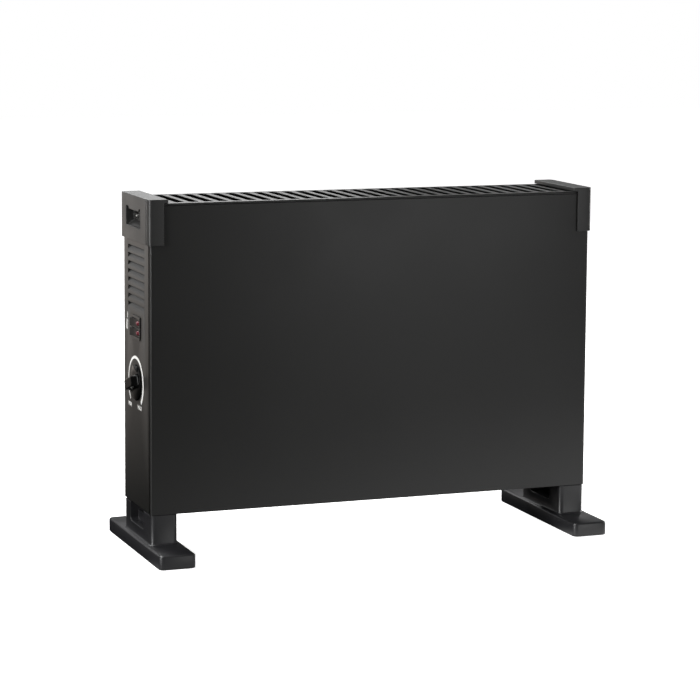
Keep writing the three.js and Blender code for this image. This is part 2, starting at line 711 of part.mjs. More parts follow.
function housingLength() {
  const swung = radians(rockerSwing / 2);
  const reach = (rockerLength / 2) * Math.cos(swung) + rockerEnds * Math.sin(swung);
  return 2 * (reach + rockerRunning + switchWall);
}

function housingHeight() {
  return rockerPitch + cavityHeight + 2 * switchLid;
}

function switchHousing() {
  const face = -sidePlane - fit;
  const centre = [sideCentre, switchHeight];
  const bezel = prism(rectangle(bezelLength, bezelHeight, bezelCorner, centre), 'x',
    [face - bezelThickness, face]);
  const body = prism(rectangle(housingLength(), housingHeight(), fit, centre, Math.PI / 2), 'x',
    [face - bezelThickness / 2, switchBack]);
  const cavityHalf = housingLength() / 2 - switchWall;
  const cavities = [-1, 1].map((side) => {
    const middle = switchHeight + (side * rockerPitch) / 2;
    return block([face - bezelThickness - 1, face + fit + cavityDepth],
      [sideCentre - cavityHalf, sideCentre + cavityHalf],
      [middle - cavityHeight / 2, middle + cavityHeight / 2]);
  });
  const pinReach = rockerPitch / 2 + rockerHeight / 2 + pivotReach + rockerRunning;
  const pins = prism(disc([-sidePlane + pivotDepth, sideCentre], pivotRadius + rockerRunning, 12),
    'z', [switchHeight - pinReach, switchHeight + pinReach]);
  const blades = [-1, 1].flatMap((side) => [-1, 1].map((end) =>
    blade(switchBack, sideCentre + end * 10, switchHeight + (side * rockerPitch) / 2)));
  return cut(joined(bezel, body, ...blades), ...cavities, pins);
}

// A flat spade terminal that points along +X from a face.
function blade(x, y, z) {
  return block([x - bladeRoot, x + bladeLength], [y - bladeWidth / 2, y + bladeWidth / 2],
    [z - bladeThickness / 2, z + bladeThickness / 2]);
}

// Rocker about its pivot: outwards is -X, its length lies along Y.
function rocker() {
  const half = rockerLength / 2;
  const [ends, dip] = [-rockerEnds, -rockerEnds + rockerDish];
  const outline = rounded([[ends, half, 0.5], [dip + 0.25 * rockerDish, half / 2],
    [dip, 0], [dip + 0.25 * rockerDish, -half / 2], [ends, -half, 0.5],
    [ends + rockerSkirt, -half], [-1, -half / 2], [rockerHub, -rockerHub],
    [rockerHub, rockerHub], [-1, half / 2], [ends + rockerSkirt, half]]);
  const slab = prism(outline, 'z', [-rockerHeight / 2, rockerHeight / 2]);
  const pin = prism(disc([0, 0], pivotRadius, 12), 'z',
    [-rockerHeight / 2 - pivotReach, rockerHeight / 2 + pivotReach]);
  const seat = prism(disc([0, 0], 1).map(({ x, y }) => new THREE.Vector2(
    -lensOffset + x * (lensLength / 2 + fit), y * (lensHeight / 2 + fit))), 'x',
  [-rockerEnds - 1, -rockerEnds + rockerDish + lensSeat]);
  return cut(joined(slab, pin), seat);
}

// Lamp lens in the rocker's own frame, domed outwards.
function lampLens() {
  const [seat, face] = [-rockerEnds + rockerDish + lensSeat - fit, -rockerEnds + rockerDish * 0.5];
  const dome = counted(4, (i) => {
    const angle = (i / 3) * (Math.PI / 2);
    return [(lensHeight / 2) * Math.cos(angle), -face + lensDome * Math.sin(angle)];
  });
  dome[3][0] = 0;
  const lens = turned([[0, -seat], [lensHeight / 2, -seat], ...dome]);
  return lens.rotateY(-Math.PI / 2).scale(1, lensLength / lensHeight, 1).translate(0, -lensOffset, 0);
}

// ---------------------------------------------------------------- thermostat

function thermostatBody() {
  const centre = [sideCentre, dialHeight];
  const plate = prism(rectangle(thermostatPlateLength, thermostatPlateHeight, 3, centre), 'x',
    [thermostatFront, thermostatFront + thermostatPlate]);
  const body = prism(rectangle(thermostatLength, thermostatHeight, 2, centre), 'x',
    [thermostatFront + thermostatPlate / 2, thermostatBack]);
  const bore = prism(disc(centre, shaftRadius + fit, 12), 'x',
    [thermostatFront - 1, thermostatFront + shaftInBody + fit]);
  const holes = [-1, 1].map((side) =>
    prism(disc([sideCentre, dialHeight + side * thermostatScrewOffset], smallScrewHole, 10), 'x',
      [thermostatFront - 1, thermostatFront + thermostatPlate + 1]));
  const blades = [-1, 1].map((side) => blade(thermostatBack, sideCentre + side * 8, dialHeight));
  return cut(joined(plate, body, ...blades), bore, ...holes);
}

// Knob about its axis, outwards along -X and its pointing end along +Z. X = 0 is its underside.
function knob() {
  const skirt = solid(turned([[0, 0], [knobRadius, 0], [knobRadius, knobRim * 0.7],
    [knobRadius - 0.6, knobRim], [knobRadius * 0.6, (knobRim + knobCrown) / 2], [0, knobCrown]], 40));
  const between = (share) => [
    gripBaseLength + (gripTopLength - gripBaseLength) * share,
    gripBaseWidth + (gripTopWidth - gripBaseWidth) * share,
  ];
  const grip = solid(lofted([
    [knobHollowDepth + 0.3, ...between(0), 4],
    [knobHollowDepth + 0.3 + gripHeight * 0.12, ...between(0.38), 3.4],
    [gripHeight * 0.45, ...between(0.72), 2.6],
    [gripHeight * 0.75, ...between(0.93), 2.2],
    [gripHeight - 0.7, ...between(1), 2],
    [gripHeight, gripTopLength - 1.4, gripTopWidth - 1.4, 1.3],
  ]));
  const hollow = solid(turned([[0, -1], [knobHollow, -1], [knobHollow, knobHollowDepth],
    [0, knobHollowDepth]], 32));
  const bore = prism(disc([0, 0], shaftRadius + fit, 16), 'z', [-1, shaftInKnob + fit]);
  return surface(cut(joined(skirt, grip), hollow, bore)).rotateY(-Math.PI / 2);
}

// Shaft in the knob's frame, with a flat along its outer half.
function shaft() {
  const inner = knobStandoff + lap + shaftInBody;
  const rod = prism(disc([0, 0], shaftRadius, 12), 'x', [-shaftInKnob, inner]);
  return cut(rod, block([-shaftInKnob - 1, 0], [-shaftRadius - 1, shaftRadius + 1],
    [shaftFlat, shaftRadius + 1]));
}

// ---------------------------------------------------------------- heating unit

// Folded plate across the casing. Flanges point along the given side of X.
function crossPlate(x, side, top) {
  const outer = [[x + side * unitFlange, side * partitionHalf],
    [x, side * partitionHalf, unitBend], [x, -side * partitionHalf, unitBend],
    [x + side * unitFlange, -side * partitionHalf]];
  const plate = prism(folded(outer, sheet), 'z', [floorTop + fit, top]);
  const middle = (boardBottom + boardTop) / 2;
  const slots = [-1, 1].map((end) => {
    const y = end * boardOffset;
    return block([x - 2, x + 2], [y - boardThickness / 2 - fit, y + boardThickness / 2 + fit],
      [middle - tabHeight / 2 - fit, middle + tabHeight / 2 + fit]);
  });
  return cut(plate, ...slots);
}

function controlPartition() {
  const hole = (width, height, y, z) =>
    prism(rectangle(width, height, 2, [y, z]), 'x', [partitionX - 2, partitionX + 2]);
  return cut(crossPlate(partitionX, 1, partitionTop),
    hole(feedHoleLength, feedHoleHeight, ...feedHole),
    hole(returnHoleLength, returnHoleHeight, ...returnHole),
    hole(2 * cutoutSpacing + bladeWidth + 2 * bladeSlotMargin,
      bladeThickness + 2 * bladeSlotMargin + fit, 0, cutoutHeight));
}

function heatShield(side) {
  const near = side * (partitionHalf + fit);
  const far = side * (partitionHalf + fit + shieldSheet);
  return block([partitionX + unitBend, bracketX - unitBend],
    [Math.min(near, far), Math.max(near, far)], [shieldBottom, shieldTop]);
}

function micaBoard(side) {
  const middle = (boardBottom + boardTop) / 2;
  const [left, right] = [partitionX + sheet + boardEnd, bracketX - sheet - boardEnd];
  const [tabLeft, tabRight] = [partitionX - tabReach, bracketX + tabReach];
  const [low, high] = [middle - tabHeight / 2, middle + tabHeight / 2];
  const outline = [[left, boardBottom], [right, boardBottom], [right, low], [tabRight, low],
    [tabRight, high], [right, high], [right, boardTop], [left, boardTop], [left, high],
    [tabLeft, high], [tabLeft, low], [left, low]].map(([u, v]) => new THREE.Vector2(u, v));
  const y = side * boardOffset;
  return prism(outline, 'y', [y - boardThickness / 2, y + boardThickness / 2]);
}

// Resistance ribbon folded up and down along the board's outer face, and its straight return.
function winding(side) {
  const first = partitionX + sheet + boardEnd + windingMargin;
  const last = bracketX - sheet - boardEnd - windingMargin;
  const low = boardBottom + windingEdge + windingReturn;
  const high = boardTop - windingEdge;
  const pitch = (last - first) / (windingRuns - 1);
  const runs = counted(windingRuns, (i) => {
    const x = first + i * pitch;
    return i % 2 ? [[x, high], [x, low]] : [[x, low], [x, high]];
  }).flat();
  const start = [first - windingMargin / 2, low];
  const back = boardBottom + windingEdge - windingWidth / 2;
  const turn = last + windingWidth * 2;
  const tail = [[turn, high], [turn, back], [start[0], back]];
  const strip = folded([start, ...runs, ...tail], windingWidth);
  const near = side * (boardOffset + boardThickness / 2 + fit);
  const far = near + side * windingThickness;
  return prism(strip, 'y', [Math.min(near, far), Math.max(near, far)]);
}

function thermalCutout() {
  const face = partitionX + sheet + fit;
  const flange = prism(rectangle(2 * cutoutFlange, 2 * cutoutRadius, 3, [0, cutoutHeight]), 'x',
    [face, face + cutoutFlangeThickness]);
  const can = prism(disc([0, cutoutHeight], cutoutRadius, 20), 'x',
    [face + cutoutFlangeThickness / 2, face + cutoutDepth]);
  const blades = [-1, 1].map((side) =>
    block([face - cutoutBladeLength, face + cutoutFlangeThickness / 2],
      [side * cutoutSpacing - bladeWidth / 2, side * cutoutSpacing + bladeWidth / 2],
      [cutoutHeight - bladeThickness / 2, cutoutHeight + bladeThickness / 2]));
  return joined(flange, can, ...blades);
}

// ---------------------------------------------------------------- mains connection

function terminalBlock() {
  const base = block([blockX - blockWidth / 2, blockX + blockWidth / 2],
    [blockCentre - blockLength / 2, blockCentre + blockLength / 2],
    [blockBottom, blockBottom + blockBase]);
  const towers = counted(3, (i) =>
    prism(disc([blockX, blockCentre + spread(i, 3, polePitch)], towerRadius, 12), 'z',
      [blockBottom + blockBase / 2, blockBottom + blockTower]));
  return joined(base, ...towers);
}

// Grommet that snaps into the rear panel; the neck passes through it.
function cordGland() {
  const inner = rearPlane - sheet - fit;
  const profile = [[glandBore, -glandFlangeThickness], [glandFlange, -glandFlangeThickness],
    [glandFlange, 0], [glandNeck, 0], [glandNeck, sheet + 2 * fit], [glandFlange, sheet + 2 * fit],
    [glandFlange - 1, sheet + 2 * fit + glandFlangeThickness],
    [glandBore, sheet + 2 * fit + glandFlangeThickness], [glandBore, -glandFlangeThickness]];
  return turned(profile, 20).rotateX(-Math.PI / 2).translate(blockX, inner, glandHeight);
}

// An insulated wire on a smooth route through its points.
function wire(points, steps = 16) {
  const route = new THREE.CatmullRomCurve3(points.map((point) => new THREE.Vector3(...point)));
  const section = new THREE.Shape(disc([0, 0], wireRadius, 8));
  return new THREE.ExtrudeGeometry(section, { extrudePath: route, steps, bevelEnabled: false });
}

// ---------------------------------------------------------------- assembly

const heater = new THREE.Group();
heater.name = 'convector_heater';

function add(name, form, material, parent = heater) {
  const mesh = new THREE.Mesh(form.isBufferGeometry ? form : surface(form), material);
  mesh.name = name;
  parent.add(mesh);
  return mesh;
}

add('front_panel', frontPanel(), blackPaint);
add('rear_panel', rearPanel(), blackPaint);
add('left_side_panel', controlSidePanel(), blackPaint);
add('right_side_panel', mirrored(surface(plainSidePanel())), blackPaint);
add('top_grille', topGrille(), blackPaint);
add('bottom_grille', bottomGrille(), zincSteel);

const capSurface = surface(endCap());
add('left_end_cap', capSurface, blackPlastic);
add('right_end_cap', mirrored(capSurface), blackPlastic);
const bracketSurface = surface(capBracket());
add('left_cap_bracket', bracketSurface, zincSteel);
add('right_cap_bracket', mirrored(bracketSurface), zincSteel);

const footSurface = surface(foot());
add('left_foot', footSurface, footPlastic).position.set(-footCentre, 0, 0);
add('right_foot', mirrored(footSurface), footPlastic).position.set(footCentre, 0, 0);

const casingScrew = screw(screwHeadRadius, screwHeadHeight, screwRadius, screwLength);
const smallScrew = screw(smallHeadRadius, smallHeadHeight, smallScrewRadius, smallScrewLength);

for (const [name, side] of [['left', -1], ['right', 1]]) {
  const capScrew = add(`${name}_cap_screw`, casingScrew, brightSteel);
  capScrew.position.set(side * (sidePlane - pocketDepth + fit), capScrewPlace, capScrewHeight);
  capScrew.rotation.y = (side * Math.PI) / 2;
  for (const [end, y] of Object.entries(footScrews)) {
    const footScrew = add(`${name}_foot_${end}_screw`, casingScrew, brightSteel);
    footScrew.position.set(side * footCentre, y, counterboreTop - fit);
    footScrew.rotation.x = Math.PI;
  }
}
rearScrewPlaces().forEach(([x, z], i) => {
  const rearScrew = add(`rear_panel_screw_${i + 1}`, casingScrew, brightSteel);
  rearScrew.position.set(x, rearPlane + fit, z);
  rearScrew.rotation.x = -Math.PI / 2;
});

add('switch_housing', switchHousing(), glossPlastic);
for (const [name, side] of [['upper', 1], ['lower', -1]]) {
  const pivot = new THREE.Group();
  pivot.position.set(-sidePlane + pivotDepth, sideCentre, switchHeight + (side * rockerPitch) / 2);
  pivot.rotation.z = radians(rockerSwing / 2);
  heater.add(pivot);
  add(`${name}_rocker`, rocker(), glossPlastic, pivot);
  add(`${name}_lamp_lens`, lampLens(), redLens, pivot);
}

add('thermostat_body', thermostatBody(), phenolic);
[['upper', 1], ['lower', -1]].forEach(([name, side]) => {
  const plateScrew = add(`thermostat_${name}_screw`, smallScrew, brightSteel);
  plateScrew.position.set(-sidePlane - fit / 3, sideCentre, dialHeight + side * thermostatScrewOffset);
  plateScrew.rotation.y = -Math.PI / 2;
});
const dial = new THREE.Group();
dial.position.set(-sidePlane - knobStandoff, sideCentre, dialHeight);
dial.rotation.x = radians(pointerRest);
heater.add(dial);
add('thermostat_knob', knob(), glossPlastic, dial);
add('thermostat_shaft', shaft(), zincSteel, dial);

add('control_partition', controlPartition(), zincSteel);
add('element_bracket', crossPlate(bracketX, -1, bracketTop), zincSteel);
add('front_heat_shield', heatShield(-1), zincSteel);
add('rear_heat_shield', heatShield(1), zincSteel);
add('front_mica_board', micaBoard(-1), mica);
add('rear_mica_board', micaBoard(1), mica);
add('front_winding', winding(-1), nichrome);
add('rear_winding', winding(1), nichrome);
add('thermal_cutout', thermalCutout(), brightSteel);
add('terminal_block', terminalBlock(), whiteNylon);
add('cord_gland', cordGland(), rubber);

// Wires start and end just off the terminals that they serve, and are routed by offsets from
// these, from the partition with its holes and from the upper edge of the mica boards.
const off = ([x, y, z], dx, dy, dz) => [x + dx, y + dy, z + dz];
const bladeTip = (x, y, z) => [x + bladeLength + fit, y, z];
const pole = (i) => [blockX, blockCentre + spread(i, 3, polePitch), blockBottom + blockTower + fit];
const thermostatTip = (side) => bladeTip(thermostatBack, sideCentre + side * 8, dialHeight);
const switchTip = (end, side) =>
  bladeTip(switchBack, sideCentre + end * 10, switchHeight + (side * rockerPitch) / 2);
const cutoutTip = (side) =>
  [partitionX + sheet - cutoutBladeLength, side * cutoutSpacing, cutoutHeight];
const windingTip = (side, z) => [
  partitionX + sheet + boardEnd + windingMargin / 2 + windingWidth / 2,
  side * (boardOffset + boardThickness / 2 + windingThickness + 2 * fit), z];
const runLevel = boardBottom + windingEdge + windingReturn + windingWidth / 2;
const returnLevel = boardBottom + windingEdge;
const aisle = partitionX - wireAisle;
const throughFeed = [partitionX, ...feedHole];
const throughReturn = [partitionX, ...returnHole];
const pastCutout = sheet + fit + cutoutDepth + wireSpace;
const overBoard = (side) => [partitionX + boardEnd, side * boardOffset, boardTop];
const beside = (side, z) => off(windingTip(side, z), 0, side * wireStandoff, 0.5);

add('live_wire', wire([pole(0), off(pole(0), 0, 0, 7), off([aisle, 0, pole(0)[2]], 0, 2, 45),
  off([aisle, thermostatTip(-1)[1], dialHeight], 0, 0, -20), off(thermostatTip(-1), 7, 0, -2),
  thermostatTip(-1)]), brownWire);
add('thermostat_wire', wire([thermostatTip(1), off(thermostatTip(1), 6, 0, 2),
  off([aisle, thermostatTip(1)[1], dialHeight], 0, -3, 20),
  off([aisle, switchTip(-1, -1)[1], switchTip(-1, -1)[2]], 0, 4, -14),
  off(switchTip(-1, -1), 8, 0, -1), switchTip(-1, -1)]), brownWire);
add('front_element_wire', wire([switchTip(1, -1), off(switchTip(1, -1), 7, 0, -1.5),
  off(throughFeed, -11, 3, 3), off(throughFeed, 0, 1, 0),
  off(throughFeed, pastCutout, -4, -2), off(throughFeed, pastCutout, -26, -30), off(overBoard(-1), 10, -10, -12), beside(-1, runLevel),
  windingTip(-1, runLevel)]), brownWire);
add('neutral_wire', wire([pole(1), off(pole(1), 0, 0, 9), off(pole(1), 5, -1, 47),
  off([partitionX, cutoutTip(1)[1], cutoutHeight], -13, 7, -30), off(cutoutTip(1), -6.3, 0, -4),
  cutoutTip(1)]), blueWire);
add('rear_element_wire', wire([cutoutTip(-1), off(cutoutTip(-1), -5.3, 0, -3),
  off(throughReturn, -12, -1, 11), off(throughReturn, -4, 0, 0.5), off(throughReturn, 5, 2, -2),
  off(overBoard(1), 8, -1, 5), off(overBoard(1), 9, 8, -14), beside(1, returnLevel),
  windingTip(1, returnLevel)]), blueWire);
add('earth_wire', wire([pole(2), off(pole(2), 1, 0, 9), off([partitionX, ...pole(2).slice(1)], -10, 0, 23),
  off([partitionX, ...pole(2).slice(1)], -fit, 0, 25)], 10), rubber);

// The knob stands out further than the feet, so the casing sits to the right of the origin.
heater.position.x = (knobStandoff + gripHeight - footOutboard) / 2;

export default heater;
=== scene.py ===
"""A free-standing convector heater in black powder-coated steel, with moulded caps and feet."""
import math

import bmesh
import bpy
from mathutils import Matrix, Vector


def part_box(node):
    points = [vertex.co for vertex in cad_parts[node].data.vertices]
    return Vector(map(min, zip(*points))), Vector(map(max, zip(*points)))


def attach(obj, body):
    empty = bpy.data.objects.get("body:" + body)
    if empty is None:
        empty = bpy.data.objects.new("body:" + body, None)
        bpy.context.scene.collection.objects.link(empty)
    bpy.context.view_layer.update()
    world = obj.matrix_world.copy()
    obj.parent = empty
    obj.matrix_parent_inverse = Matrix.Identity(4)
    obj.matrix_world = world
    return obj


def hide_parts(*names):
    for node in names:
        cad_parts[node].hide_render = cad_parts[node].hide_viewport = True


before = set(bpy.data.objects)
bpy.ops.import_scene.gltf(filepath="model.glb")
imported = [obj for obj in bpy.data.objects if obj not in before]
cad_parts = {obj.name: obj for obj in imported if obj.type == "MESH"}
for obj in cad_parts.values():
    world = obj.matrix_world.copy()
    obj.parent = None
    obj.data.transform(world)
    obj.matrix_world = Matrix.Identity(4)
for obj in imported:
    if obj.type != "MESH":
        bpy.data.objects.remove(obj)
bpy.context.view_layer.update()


# ---------------------------------------------------------------- front panel
# One sheet of 0.8 mm steel, folded round both ends of the casing and powder-coated satin black.
# The baked powder leaves a faint orange peel about 1.5 mm across, which softens every reflection.

peel_width = 0.0015                          # metres across one dimple of the orange peel
peel_depth, peel_strength = 0.0002, 0.10
coat_radius = 0.0004                         # the powder rounds the folded edges a little
coat_roughness = (0.33, 0.39)                # from wiped to untouched places
noise_span = (0.3, 0.7)                      # nearly all of a noise pattern lies between these
merge_distance = 1e-6
flat_angle = math.radians(0.5)               # faces closer than this to one plane are merged
sharp_angle = math.radians(32)               # edges sharper than this stay edges


def linear(code):
    """An sRGB hex colour as the linear values that a shader takes."""
    parts = [int(code[i:i + 2], 16) / 255 for i in (1, 3, 5)]
    curve = [c / 12.92 if c <= 0.04045 else ((c + 0.055) / 1.055) ** 2.4 for c in parts]
    return (*curve, 1.0)


def add_node(tree, kind, settings=None, inputs=None):
    """Adds a node; an input is a plain value, or the output socket that feeds it."""
    node = tree.nodes.new(kind)
    for name, value in (settings or {}).items():
        setattr(node, name, value)
    for name, value in (inputs or {}).items():
        if isinstance(value, bpy.types.NodeSocket):
            tree.links.new(value, node.inputs[name])
        else:
            node.inputs[name].default_value = value
    return node


def new_material(name, **shader_values):
    """A named material with its shader, and the object's own coordinates in metres."""
    material = bpy.data.materials.new(name)
    material.use_nodes = True
    tree = material.node_tree
    shader = tree.nodes["Principled BSDF"]
    for socket, value in shader_values.items():
        shader.inputs[socket.replace("_", " ")].default_value = value
    place = add_node(tree, "ShaderNodeTexCoord").outputs["Object"]
    return material, tree, shader, place


def powder_coat(name, colour):
    material, tree, shader, place = new_material(name, IOR=1.5, Specular_IOR_Level=0.5)
    peel = add_node(tree, "ShaderNodeTexNoise", None,
                    {"Vector": place, "Scale": 1 / peel_width, "Detail": 2.0, "Roughness": 0.45})
    handling = add_node(tree, "ShaderNodeTexNoise", None,
                        {"Vector": place, "Scale": 9.0, "Detail": 3.0})
    gloss = add_node(tree, "ShaderNodeMapRange", None,
                     {"Value": handling.outputs["Fac"],
                      "From Min": noise_span[0], "From Max": noise_span[1],
                      "To Min": coat_roughness[0], "To Max": coat_roughness[1]})
    tint = add_node(tree, "ShaderNodeMix", {"data_type": "RGBA"},
                    {"Factor": peel.outputs["Fac"], 6: linear(colour[0]), 7: linear(colour[1])})
    soft_edge = add_node(tree, "ShaderNodeBevel", {"samples": 4}, {"Radius": coat_radius})
    bump = add_node(tree, "ShaderNodeBump", None,
                    {"Strength": peel_strength, "Distance": peel_depth,
                     "Height": peel.outputs["Fac"], "Normal": soft_edge.outputs["Normal"]})
    tree.links.new(tint.outputs[2], shader.inputs["Base Color"])
    tree.links.new(gloss.outputs["Result"], shader.inputs["Roughness"])
    tree.links.new(bump.outputs["Normal"], shader.inputs["Normal"])
    return material


def finished(node, body, material, edge=0.0):
    """A finer copy of a CAD solid: flats are merged, edges rounded, and curves shade smoothly."""
    form = bmesh.new()
    form.from_mesh(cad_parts[node].data)
    bmesh.ops.remove_doubles(form, verts=form.verts, dist=merge_distance)
    bmesh.ops.dissolve_limit(form, angle_limit=flat_angle, verts=form.verts, edges=form.edges)
    for face in form.faces:
        face.smooth = True
        face.material_index = 0
    mesh = bpy.data.meshes.new(node + "_surface")
    form.to_mesh(mesh)
    form.free()
    if "custom_normal" in mesh.attributes:
        mesh.attributes.remove(mesh.attributes["custom_normal"])
    mesh.materials.clear()
    mesh.materials.append(material)
    piece = bpy.data.objects.new(node + "_finished", mesh)
    bpy.context.collection.objects.link(piece)
    if edge:
        rounding = piece.modifiers.new("rounded edges", "BEVEL")
        rounding.width = edge
        rounding.segments = 2
        rounding.limit_method = "ANGLE"
        rounding.angle_limit = sharp_angle
        rounding.use_clamp_overlap = False
        rounding.harden_normals = True
    else:
        mesh.set_sharp_from_angle(angle=sharp_angle)
    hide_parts(node)
    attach(piece, body)


black_powder_coat = powder_coat("black powder-coated steel", ("#171716", "#1c1c1b"))
finished("front_panel", "heater", black_powder_coat)


# ---------------------------------------------------------------- side panels, rear panel, grilles
# More folded sheets in the same powder coat. The louvres are pressed inwards in the side panels,
# and the slots are punched; the sheets are coated after that, so the powder covers every edge.

for sheet in ("left_side_panel", "right_side_panel", "rear_panel", "top_grille"):
    finished(sheet, "heater", black_powder_coat)


# ---------------------------------------------------------------- end caps
# Moulded ABS with a fine spark-eroded grain, clipped over the top corners of the casing. The real
# grain is about 0.2 mm; it is drawn at 0.6 mm so that it still shows. Its black is a little
# greyer than that of the paint, and the grain scatters the light.

grain_depth = 0.0001


def moulded(name, colour, grain, depth, rough, level=0.5):
    """A moulded plastic: grain is the width of its texture, and depth is how strongly it shows."""
    material, tree, shader, place = new_material(name, IOR=1.54, Specular_IOR_Level=level)
    erosion = add_node(tree, "ShaderNodeTexNoise", None,
                       {"Vector": place, "Scale": 1 / grain, "Detail": 3.0, "Roughness": 0.6})
    flow = add_node(tree, "ShaderNodeTexNoise", None,
                    {"Vector": place, "Scale": 25.0, "Detail": 2.0})
    tint = add_node(tree, "ShaderNodeMix", {"data_type": "RGBA"},
                    {"Factor": flow.outputs["Fac"], 6: linear(colour[0]), 7: linear(colour[1])})
    gloss = add_node(tree, "ShaderNodeMapRange", None,
                     {"Value": flow.outputs["Fac"],
                      "From Min": noise_span[0], "From Max": noise_span[1],
                      "To Min": rough[0], "To Max": rough[1]})
    bump = add_node(tree, "ShaderNodeBump", None,
                    {"Strength": depth, "Distance": grain_depth,
                     "Height": erosion.outputs["Fac"]})
    tree.links.new(tint.outputs[2], shader.inputs["Base Color"])
    tree.links.new(gloss.outputs["Result"], shader.inputs["Roughness"])
    tree.links.new(bump.outputs["Normal"], shader.inputs["Normal"])
    return material


grained_abs = moulded("spark-grained black ABS", ("#232323", "#2a2a29"), grain=0.0006, depth=0.35,
                      rough=(0.38, 0.46))
for cap in ("left_end_cap", "right_end_cap"):
    finished(cap, "heater", grained_abs, edge=0.0005)


# ---------------------------------------------------------------- feet
# Moulded feet in a harder, smoother black plastic, screwed up into the casing from below. Their
# flat tops mirror the light behind the heater at a low angle.

foot_plastic = moulded("satin black polypropylene", ("#1d1d1f", "#232325"), grain=0.0010,
                       depth=0.12, rough=(0.30, 0.38))
for foot in ("left_foot", "right_foot"):
    finished(foot, "heater", foot_plastic, edge=0.0006)


# ---------------------------------------------------------------- screws and plain steel parts
# Nickel-plated cross-recess screws, and inner parts of zinc-plated sheet. Plating is bright, and
# the zinc has a cloudy passivated film, with patches a few millimetres across.

def plated(name, colour, cloud, rough):
    """A plated or bare metal: cloud is the width of the patches in its film."""
    material, tree, shader, place = new_material(name, Metallic=1.0)
    film = add_node(tree, "ShaderNodeTexNoise", None,
                    {"Vector": place, "Scale": 1 / cloud, "Detail": 4.0})
    tint = add_node(tree, "ShaderNodeMix", {"data_type": "RGBA"},
                    {"Factor": film.outputs["Fac"], 6: linear(colour[0]), 7: linear(colour[1])})
    gloss = add_node(tree, "ShaderNodeMapRange", None,
                     {"Value": film.outputs["Fac"],
                      "From Min": noise_span[0], "From Max": noise_span[1],
                      "To Min": rough[0], "To Max": rough[1]})
    tree.links.new(tint.outputs[2], shader.inputs["Base Color"])
    tree.links.new(gloss.outputs["Result"], shader.inputs["Roughness"])
    return material


nickel_plate = plated("nickel-plated steel", ("#b9b8b4", "#cfcecb"), cloud=0.002,
                      rough=(0.22, 0.32))
zinc_plate = plated("zinc-plated sheet steel", ("#8f9193", "#aeb0b1"), cloud=0.006,
                    rough=(0.32, 0.48))

screws = [f"{side}_{place}_screw" for side in ("left", "right")
          for place in ("cap", "foot_front", "foot_rear")]
screws += [f"rear_panel_screw_{i}" for i in range(1, 7)]
screws += ["thermostat_upper_screw", "thermostat_lower_screw"]
for screw in screws:
    finished(screw, "heater", nickel_plate, edge=0.00012)


def recoloured(nodes, material):
    """Gives CAD nodes that already have their shape a better material."""
    for name in nodes:
        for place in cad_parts[name].material_slots:
            place.material = material


recoloured(["bottom_grille", "left_cap_bracket", "right_cap_bracket", "control_partition",
            "element_bracket", "front_heat_shield", "rear_heat_shield"], zinc_plate)


# ---------------------------------------------------------------- double rocker switch
# A snap-in switch of glossy moulded nylon: a bezel with two rockers one above the other, each with
# a red lamp lens. The polish of the mould leaves it smooth, with only a slight waviness.

gloss_black = moulded("polished black nylon", ("#0b0b0c", "#101011"), grain=0.004, depth=0.03,
                      rough=(0.10, 0.16))
finished("switch_housing", "heater", gloss_black, edge=0.0003)
for rocker in ("upper_rocker", "lower_rocker"):
    finished(rocker, rocker, gloss_black, edge=0.0003)

prism_width, prism_depth = 0.0011, 0.0002


def lamp_red():
    """Clear red polycarbonate over an unlit neon lamp: a prismatic inside breaks up the light."""
    material, tree, shader, place = new_material(
        "red polycarbonate lens", IOR=1.58, Roughness=0.08, Transmission_Weight=0.25)
    prisms = add_node(tree, "ShaderNodeTexVoronoi", None,
                      {"Vector": place, "Scale": 1 / prism_width})
    tint = add_node(tree, "ShaderNodeMix", {"data_type": "RGBA"},
                    {"Factor": prisms.outputs["Distance"], 6: linear("#8f3a46"),
                     7: linear("#4c1520")})
    bump = add_node(tree, "ShaderNodeBump", None,
                    {"Strength": 0.3, "Distance": prism_depth,
                     "Height": prisms.outputs["Distance"]})
    tree.links.new(tint.outputs[2], shader.inputs["Base Color"])
    tree.links.new(bump.outputs["Normal"], shader.inputs["Normal"])
    return material


red_lens = lamp_red()
for lens, rocker in (("upper_lamp_lens", "upper_rocker"), ("lower_lamp_lens", "lower_rocker")):
    finished(lens, rocker, red_lens)


# ---------------------------------------------------------------- thermostat knob and shaft
# A glossy moulded knob with a bar grip, pushed onto the zinc-plated shaft of the thermostat. It is
# the blackest piece, and its plastic mirrors less than that of the switch.

knob_black = moulded("jet black moulded knob", ("#070707", "#0a0a0a"), grain=0.004, depth=0.03,
                     rough=(0.10, 0.14), level=0.06)
finished("thermostat_knob", "knob", knob_black, edge=0.0007)
finished("thermostat_shaft", "knob", zinc_plate, edge=0.0002)


# ---------------------------------------------------------------- printed marks
# White screen-printing ink on the paint: a wedge-shaped arc round the knob that widens towards
# the hot end, its two words, and the marks of the two switch stages. The film is 0.03 mm thick.

film = 0.00003
weave_width = 0.0005                         # the printing screen leaves its weave in the ink
ink_roughness = 0.55


def screen_ink():
    material, tree, shader, place = new_material("white screen-printing ink", IOR=1.5)
    weave = add_node(tree, "ShaderNodeTexNoise", None,
                     {"Vector": place, "Scale": 1 / weave_width, "Detail": 2.0})
    tint = add_node(tree, "ShaderNodeMix", {"data_type": "RGBA"},
                    {"Factor": weave.outputs["Fac"], 6: linear("#ecebe6"),
                     7: linear("#faf9f6")})
    tree.links.new(tint.outputs[2], shader.inputs["Base Color"])
    shader.inputs["Roughness"].default_value = ink_roughness
    return material


white_ink = screen_ink()
side_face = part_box("left_side_panel")[0][0]


